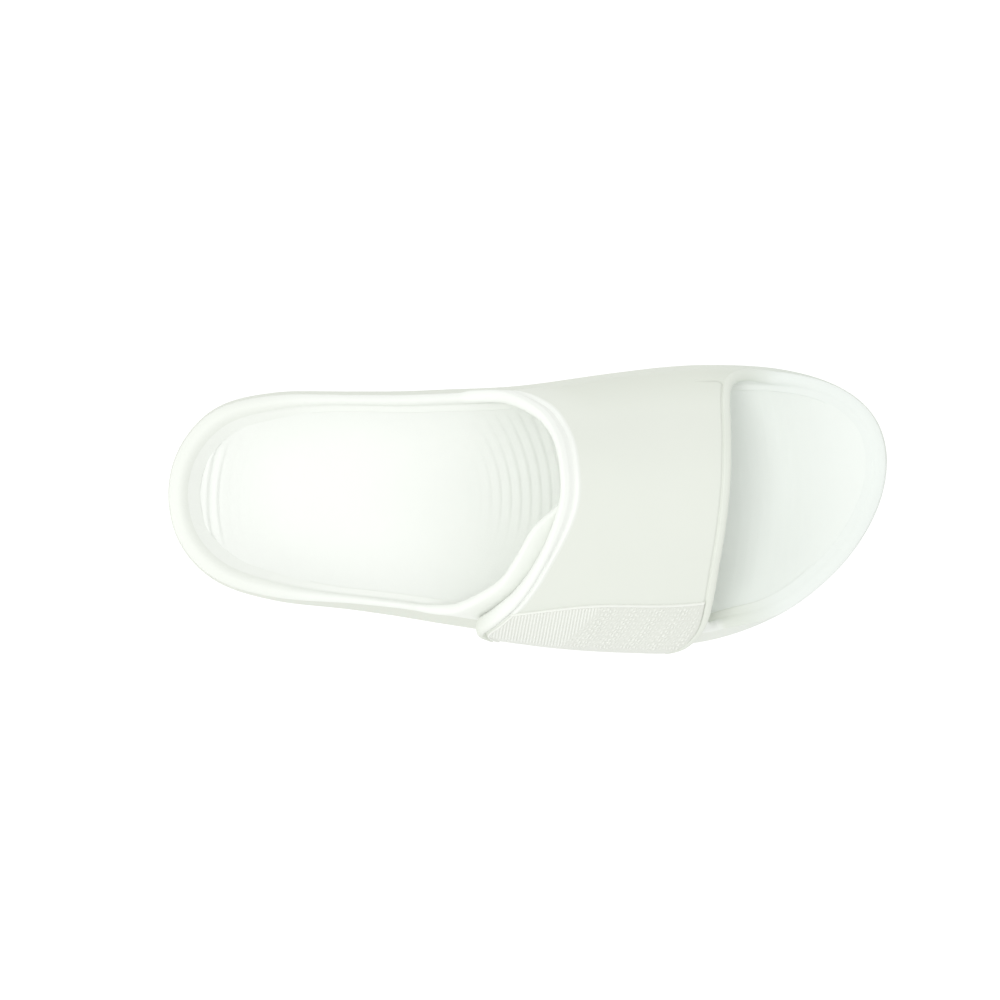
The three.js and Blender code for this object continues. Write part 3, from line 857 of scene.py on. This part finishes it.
def tread_grooves():
    """Wavy bars that cut the tread."""
    mesh = Mesh()
    x = HEEL_BACK + TREAD_BORDER + TREAD_PITCH
    while x < -HEEL_BACK - TREAD_BORDER - TREAD_PITCH:
        _, half, mid = plan_at(turn_at(np.array(x)))
        reach = half - TREAD_BORDER
        side = np.linspace(-reach, reach, GROOVE_POINTS)[:, None]
        middle = x + TREAD_WAVE * np.cos(side / reach * math.pi)
        edge = middle + np.array([-TREAD_GAP / 2, TREAD_GAP / 2])
        top = stack(edge, mid + side, underside(edge) + TREAD_DEPTH)
        mesh.sheet(top, top - np.array([0, 0, 2 * TREAD_DEPTH]))
        x += TREAD_PITCH
    return mesh.build("tread_cutter")


def band_dress(outer, turn, rear_line, front_line):
    """Relief and shade of the band's outer face, and the shade round its edge."""
    rear = distance_to(outer, rear_line)
    front = distance_to(outer, front_line)
    relief = rear_relief(rear, turn) + front_relief(front, turn)
    panel_start = sum(rear_widths(turn)) + PANEL_EDGE / 2
    by_corner = smooth(turn, *CORNER_SHADE)
    # Painted shade on the band's big-toe side near its root
    by_root = (1 - BAND_SHADE) * fall(turn, *ROOT_PAINTED_SHADE) * smooth(rear, *ROOT_PAINTED_SHADE_REACH)
    # The panel's own tone and the front bead's, both partly painted shade
    panel = BAND_SHADE * smooth(rear, panel_start, panel_start + PANEL_EDGE) + by_root
    panel = lerp(FRONT_SHADE, panel, smooth(front, FRONT_BEAD * FRONT_BEAD_FLAT, FRONT_BEAD))
    shade = np.maximum(panel, by_corner) * toe_side_shade(outer[..., 0])
    end = np.full(outer.shape[1] - 2, BAND_SHADE)
    front_edge = FRONT_SHADE * toe_side_shade(outer[::-1, -1, 0])
    return relief, shade, np.concatenate([by_corner[:, 0], end, front_edge])


def cut_tread(body):
    """Cuts the tread's grooves into the body for good, and leaves no modifier."""
    cutter = tread_grooves()
    cut = body.modifiers.new("tread", "BOOLEAN")
    cut.operation = "DIFFERENCE"
    cut.solver = "MANIFOLD"
    cut.object = cutter
    evaluated = body.evaluated_get(bpy.context.evaluated_depsgraph_get())
    shaped = bpy.data.meshes.new_from_object(evaluated)
    body.modifiers.clear()
    body.data = shaped
    bpy.data.objects.remove(cutter)


def make_body(material):
    """Sole, band and tab as one closed mesh. The straps grow out of the rim's bead."""
    turns, band_span, tab_span = spoke_turns()
    spokes = Spokes(turns)
    outside, bead, inside = sole_rings(spokes)
    crest = bead[:, BEAD_STEPS // 2]
    faces = {}
    for kind, (first, last) in ((BAND, band_span), (TAB, tab_span)):
        picks = np.arange(first, last + 1)
        if kind == TAB:
            picks = picks[::-1]
        faces[kind] = (*strap(kind, outside[picks, -1], inside[picks, 0]), picks[[0, -1]])
    mesh = Mesh()
    for kind, (turn, outer, inner, ends) in faces.items():
        turn = turn[:, None]
        bead_ends = spokes.x[ends], spokes.side[ends]
        if kind == BAND:
            rear_line = np.concatenate([crest[tab_span[1]:], crest[: band_span[0] + 1], outer[:, 0]])
            front_rim = crest[band_span[1]: tab_span[0] + 1]
            front_line = np.concatenate([outer[-1], outer[::-1, -1], front_rim])
            relief, shade, edge_shade = band_dress(outer, turn, rear_line, front_line)
        else:
            relief = TAB_BEAD_RISE * fall(distance_to(outer, outer[:, 0]), *TAB_BEAD_FALL)
            shade = TAB_SHADE
            edge_shade = TAB_SHADE
        rows = np.arange(outer.shape[0])[:, None]
        relief = relief * smooth(rows, 0, RELIEF_ROWS)
        outer = outer + outward(turn) * relief[..., None]
        mesh.grid(outer, shade)
        mesh.grid(inner)
        edge = strap_edge(kind, outer, inner, bead_rise(*bead_ends), bead_soft(*bead_ends))
        edge[[0, -1]] = bead[ends]
        mesh.grid(edge, np.broadcast_to(edge_shade, len(edge))[:, None])
    # Painted shade over the underside and outer wall, eased off at the wall's top and at the outer toe
    wall_painted_shade = np.ones(outside.shape[:2])
    wall_painted_shade[:, -3:] = WALL_TOP_PAINTED_SHADES
    by_outer_toe = smooth(spokes.x, *OUTER_WALL_TONE) * (spokes.side < 0)
    wall_painted_shade *= lerp(1, OUTER_WALL_PAINTED_SHADE, by_outer_toe)[:, None]
    mesh.grid(outside, wall_painted_shade, wrap=True)
    shade = rim_shade(spokes)[:, None]
    # Painted shade on the rim's inner side at the outer toe
    inside_painted_shade = OUTER_TOE_PAINTED_SHADE * by_outer_toe * toe_side_shade(spokes.x)
    mesh.grid(inside, inside_painted_shade[:, None], wrap=True)
    for first, last in ((0, band_span[0]), (band_span[1], tab_span[0]), (tab_span[1], len(turns))):
        ring = np.arange(first, last + 1) % len(turns)
        mesh.grid(bead[ring], shade[ring])
    body = mesh.build("foam_body", material, close=True)
    cut_tread(body)
    return body


def ripples(x, y):
    """Low terraces in the footbed, arcs round a point in its middle, strongest at the heel and
    clear by the band."""
    dx = x - RIPPLE_CENTRE[0]
    dy = y - RIPPLE_CENTRE[1]
    radius = np.hypot(dx, dy)
    share = (radius / RIPPLE_PITCH * np.where(dx > 0, 1, -1)) % 1
    step = np.minimum(share / RIPPLE_TREAD, (1 - share) / (1 - RIPPLE_TREAD))
    step = step * step * (3 - 2 * step)
    by_band = smooth(x, *BAND_RIPPLES_X[0]) * smooth(y, *BAND_RIPPLES_Y[0])
    by_band = by_band * fall(y, *BAND_RIPPLES_Y[1]) * fall(x, *BAND_RIPPLES_X[1])
    by_heel = fall(x, *HEEL_RIPPLES_X) * smooth(y, *HEEL_RIPPLES_Y[0]) * fall(y, *HEEL_RIPPLES_Y[1])
    by_heel = HEEL_RIPPLES * by_heel * smooth(radius, *HEEL_RIPPLES_OUT)
    between = MIDDLE_RIPPLES * smooth(radius, *MIDDLE_RIPPLES_OUT) * fall(x, *MIDDLE_RIPPLES_X)
    by_toe = TOE_RIPPLES * smooth(x, *TOE_RIPPLES_X[0]) * fall(x, *TOE_RIPPLES_X[1])
    strength = np.maximum(between + by_toe, np.maximum(by_band, by_heel))
    return RIPPLE_RISE * strength * (step - 0.5)


def footbed_columns(first, last):
    """x of the footbed's columns, close together at the tips and where the terraces are deep."""
    columns = [first]
    while columns[-1] < last:
        x = columns[-1]
        tip = min(x - first, last - x)
        fine = any(low < x < high for low, high in FINE_STRETCHES)
        widest = FINE_COLUMN if fine else WIDE_COLUMN
        columns.append(x + min(widest, TIP_COLUMN + TIP_GROWTH * tip))
    columns[-1] = last
    return np.array(columns)


def make_insole(material):
    """The footbed, cupped at its edge, as a closed sheet that ends just under the rim."""
    half_turns = np.linspace(0, math.pi, RIM_POINTS)
    rims = []
    for side in (1, -1):
        spokes = Spokes(half_turns if side > 0 else 2 * math.pi - half_turns)
        rims.append(spokes.at(spokes.lip - INSOLE_TUCK, 0.0))
    first = min(rims[0][0, 0], rims[1][0, 0])
    last = max(rims[0][-1, 0], rims[1][-1, 0])
    x = footbed_columns(first, last)[:, None]
    medial, lateral = (np.interp(x, rim[:, 0], rim[:, 1]) for rim in rims)
    place = (1 - np.cos(np.linspace(0, math.pi, FOOTBED_ROWS))) / 2
    y = lerp(lateral, medial, lerp(place, np.linspace(0, 1, FOOTBED_ROWS), EVEN_ROWS))
    width = np.maximum(medial - lateral, LEAST_WIDTH)
    from_side = np.clip(2 * np.minimum(y - lateral, medial - y) / width, 0, 1)
    from_end = np.clip(np.minimum(x - first, last - x) / END_RUN, 0, 1)
    side = 2 * smooth(y, lateral, medial + LEAST_WIDTH) - 1
    at_side = dish_at(x, side, from_side)
    at_end = dish_at(x, side, from_end)
    rise = at_side + at_end - at_side * at_end
    z = floor_at(x) + cup_at(x, side) * rise
    inner = smooth(from_side, 0, RIPPLE_SIDE_FADE) * smooth(from_end, 0, RIPPLE_END_FADE)
    top = stack(x, y, z + ripples(x, y) * inner)
    bottom = stack(x, y, z - INSOLE_THICKNESS + CLEARANCE)
    mesh = Mesh()
    mesh.sheet(top, bottom)
    return mesh.build("insole_foam", material)


def grip_relief(x, along_mm, down_mm, turn, width, depth):
    """Height and shade of the grip: studs inside a raised line, slanted ribs near the band's rear
    edge and uneven dots further on. Their rows are evenly spaced as seen from above."""
    seen = HALF_SPAN * (math.cos(GRIP_TOP_TURN) - np.cos(turn))
    row = seen / STUD_ROW_PITCH
    for sway, rate in ROW_WAVES:
        row = row + sway * np.sin(rate * along_mm)
    line_of = np.floor(row)
    across_row = np.sin(math.pi * (row % 1)) ** 2
    slot = along_mm / STUD_PITCH + DOT_STAGGER * line_of
    mixed = np.sin(np.floor(slot) * DOT_MIX[0] + line_of * DOT_MIX[1]) ** 2
    dots = np.sin(math.pi * (slot % 1)) ** 2 * across_row * (DOT_LOWEST + DOT_SPREAD * mixed)
    slant = (x + seen * RIB_SLANT) / RIB_PITCH
    ribs = np.sin(math.pi * (slant % 1)) ** 2 * (1 - RIB_NOTCH + RIB_NOTCH * across_row)
    to_dots = smooth(along_mm, RIB_RUN - RIB_BLEND, RIB_RUN + RIB_BLEND)
    studs = lerp(ribs, dots, to_dots)
    from_side = np.minimum(along_mm, width - along_mm)
    from_foot = depth - down_mm
    rear_line = bump(along_mm, 0, GRIP_LINE) * (down_mm > GRIP_LINE / 2)
    line = np.maximum(bump(down_mm, 0, GRIP_LINE), rear_line)
    line_foot = [GRIP_LINE * share for share in LINE_FOOT]
    field = smooth(np.minimum(down_mm, from_side), *line_foot)
    field = field * smooth(from_foot, PLAIN_BORDER, PLAIN_BORDER + PLAIN_BORDER_FADE)
    field = field * smooth(HALF_SPAN * (1 + np.cos(turn)), *OUTER_FADE)
    groove = FOOT_GROOVE_DEPTH * bump(from_foot, PLAIN_BORDER - FOOT_GROOVE, FOOT_GROOVE)
    groove = groove * smooth(along_mm, *FOOT_GROOVE_START)
    height = GRIP_FIELD + STUD_RISE * studs * field + GRIP_LINE_RISE * line - groove
    edge = np.minimum(np.minimum(from_side, from_foot), down_mm)
    # Painted highlight on the raised line and on the tops of ribs and dots
    shade = (1 - line) * (1 - lerp(RIB_TOP_HIGHLIGHT, DOT_TOP_HIGHLIGHT, to_dots) * studs * field)
    return lerp(GRIP_EDGE, height, smooth(edge, 0, GRIP_EDGE_RUN)), shade


def make_grip(material):
    """The studded panel on the band's free end, a closed mesh just off the band's face."""
    down = np.linspace(0, 1, GRIP_ROWS)[:, None]
    share = np.linspace(0, 1, GRIP_COLUMNS)[None, :]
    top_turn = GRIP_TOP_TURN + GRIP_REAR_DROP * np.maximum(0, 1 - share / GRIP_TOP_BEND) ** 2
    turn = lerp(top_turn, GRIP_END_TURN, down)
    rear, front = edges_at(BAND, turn)
    rear = rear + EDGE_REACH + sum(rear_widths(turn)) + GRIP_INSET_REAR
    front = front - FRONT_SET - FRONT_BEAD - GRIP_OVER_GROOVE * FRONT_GROOVE
    in_corner = np.clip((down - GRIP_CORNER_START) / GRIP_CORNER_RUN, 0, 1)
    front = front - GRIP_CORNER * (1 - np.sqrt(np.clip(1 - in_corner**2, 0, 1)))
    x = lerp(rear, front, share)
    lift = band_lift(turn) + BAND_WALL
    width = front - rear
    depth = (GRIP_END_TURN - top_turn) * HALF_SPAN
    relief, shade = grip_relief(x, share * width, down * depth, turn, width, depth)
    top = arch(turn, x, lift + relief)
    bottom = arch(turn, x, lift + GRIP_GAP)
    mesh = Mesh()
    mesh.grid(top, shade)
    mesh.sides(top, bottom)
    return mesh.build("grip_studs", material, close=True)


def shader_of(material):
    """The main shader node of a new material."""
    material.use_nodes = True
    return material.node_tree.nodes["Principled BSDF"]


def color_mix(nodes, blend="MIX"):
    """A node that mixes two colours."""
    node = nodes.new("ShaderNodeMix")
    node.data_type = "RGBA"
    node.blend_type = blend
    return node


def foam(name, color, roughness, grain, grain_size, shaded=None, tint=(1, 1, 1), toe=TOE_BED_TINT_RUN):
    """Foam skin: fine grain as bump, and a slight change of tone over a few centimetres. Grain
    and its size are in millimetres. shaded is the colour where the mesh's shade is 1. tint sets
    in over toe, a stretch of x in metres."""
    material = bpy.data.materials.new(name)
    shader = shader_of(material)
    nodes = material.node_tree.nodes
    links = material.node_tree.links
    shader.inputs["Roughness"].default_value = roughness
    shader.inputs["Specular IOR Level"].default_value = SHEEN
    where = nodes.new("ShaderNodeTexCoord")
    cloud = nodes.new("ShaderNodeTexNoise")
    cloud.inputs["Scale"].default_value = MOTTLE_SCALE
    cloud.inputs["Detail"].default_value = MOTTLE_DETAIL
    tones = color_mix(nodes, "MULTIPLY")
    tones.inputs["Factor"].default_value = 1
    ramp = nodes.new("ShaderNodeMapRange")
    ramp.inputs["To Min"].default_value = 1 - MOTTLE
    ramp.inputs["To Max"].default_value = 1 + MOTTLE
    skin = color_mix(nodes)
    skin.inputs["A"].default_value = (*color, 1)
    skin.inputs["B"].default_value = (*(shaded or color), 1)
    shade = nodes.new("ShaderNodeAttribute")
    shade.attribute_name = "shade"
    links.new(shade.outputs["Fac"], skin.inputs["Factor"])
    links.new(cloud.outputs["Fac"], ramp.inputs["Value"])
    tinted = color_mix(nodes, "MULTIPLY")
    tinted.inputs["B"].default_value = (*tint, 1)
    axes = nodes.new("ShaderNodeSeparateXYZ")
    start = nodes.new("ShaderNodeMapRange")
    start.inputs["From Min"].default_value = toe[0]
    start.inputs["From Max"].default_value = toe[1]
    links.new(where.outputs["Object"], axes.inputs["Vector"])
    links.new(axes.outputs["X"], start.inputs["Value"])
    links.new(start.outputs["Result"], tinted.inputs["Factor"])
    links.new(skin.outputs["Result"], tinted.inputs["A"])
    links.new(tinted.outputs["Result"], tones.inputs["A"])
    links.new(ramp.outputs["Result"], tones.inputs["B"])
    speckle = nodes.new("ShaderNodeTexNoise")
    speckle.inputs["Scale"].default_value = 1 / (grain_size * MM)
    speckle.inputs["Detail"].default_value = GRAIN_DETAIL
    relief = nodes.new("ShaderNodeBump")
    relief.inputs["Strength"].default_value = GRAIN_STRENGTH
    relief.inputs["Distance"].default_value = grain * MM
    links.new(where.outputs["Object"], cloud.inputs["Vector"])
    links.new(where.outputs["Object"], speckle.inputs["Vector"])
    links.new(tones.outputs["Result"], shader.inputs["Base Color"])
    links.new(speckle.outputs["Fac"], relief.inputs["Height"])
    links.new(relief.outputs["Normal"], shader.inputs["Normal"])
    return material


def make_lamp(name, place, size, power):
    """A square lamp that looks at the frame's origin."""
    light = bpy.data.lights.new(name, "AREA")
    light.size = size
    light.energy = power
    lamp = bpy.data.objects.new(name, light)
    lamp.location = place
    lamp.rotation_euler = (-Vector(place)).to_track_quat("-Z", "Y").to_euler()
    bpy.context.scene.collection.objects.link(lamp)


def make_stage():
    """A floor that glows a little, an even white sky and two lamps."""
    bpy.ops.mesh.primitive_plane_add(size=FLOOR_SIZE, location=(0, 0, 0))
    floor = bpy.context.object
    floor.name = "floor"
    paper = bpy.data.materials.new("floor_paper")
    shader = shader_of(paper)
    shader.inputs["Base Color"].default_value = (FLOOR_TONE, FLOOR_TONE, FLOOR_TONE, 1)
    shader.inputs["Roughness"].default_value = 1
    shader.inputs["Specular IOR Level"].default_value = 0
    shader.inputs["Emission Color"].default_value = (1, 1, 1, 1)
    shader.inputs["Emission Strength"].default_value = FLOOR_GLOW
    floor.data.materials.append(paper)
    floor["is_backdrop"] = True
    world = bpy.data.worlds.new("studio")
    bpy.context.scene.world = world
    world.use_nodes = True
    sky = world.node_tree.nodes["Background"]
    sky.inputs["Color"].default_value = (1, 1, 1, 1)
    sky.inputs["Strength"].default_value = SKY_STRENGTH
    make_lamp("key", KEY_PLACE, KEY_SIZE, KEY_POWER)
    make_lamp("fill", FILL_PLACE, FILL_SIZE, FILL_POWER)


def make_camera():
    """A camera straight above, which frames the shoe as the photo does."""
    camera = bpy.data.cameras.new("camera")
    camera.sensor_width = CAMERA_SENSOR
    camera.lens = CAMERA_SENSOR * CAMERA_HEIGHT / FRAME_WIDTH
    camera.clip_end = CAMERA_REACH
    obj = bpy.data.objects.new("camera", camera)
    obj.location = (*FRAME_CENTRE, CAMERA_HEIGHT)
    bpy.context.scene.collection.objects.link(obj)
    bpy.context.scene.camera = obj


def place(piece, node, slot):
    """Hands a piece over in place of its CAD node."""
    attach(piece, "root")
    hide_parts(node)


make_stage()
make_camera()
white = foam("white_foam", WHITE, roughness=0.55, grain=0.05, grain_size=0.7,
             shaded=PANEL_AND_PAINTED_SHADE, tint=TOE_RIM_TINT, toe=TOE_RIM_TINT_RUN)
bed = foam("footbed_foam", FOOTBED, roughness=0.6, grain=0.05, grain_size=0.9, tint=TOE_BED_TINT)
studs = foam("grip_rubber", GRIP_PAINTED_HIGHLIGHT, roughness=0.5, grain=0.04, grain_size=0.5, shaded=GRIP)
tape = foam("fastener_tape", TAPE, roughness=0.9, grain=0.5, grain_size=0.35)
place(make_body(white), "sole_and_upper", "moulded_foam")
place(make_insole(bed), "insole", "insole_foam")
place(make_grip(studs), "grip_panel", "grip")
for node in ("loop_pad", "hook_pad"):
    bpy.data.objects[node].data.materials.clear()
    bpy.data.objects[node].data.materials.append(tape)
bpy.context.scene.view_settings.view_transform = "Standard"
boxes = {"cad": cad_box, "visual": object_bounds()}
{name: [list(map(float, corner)) for corner in box] for name, box in boxes.items()}
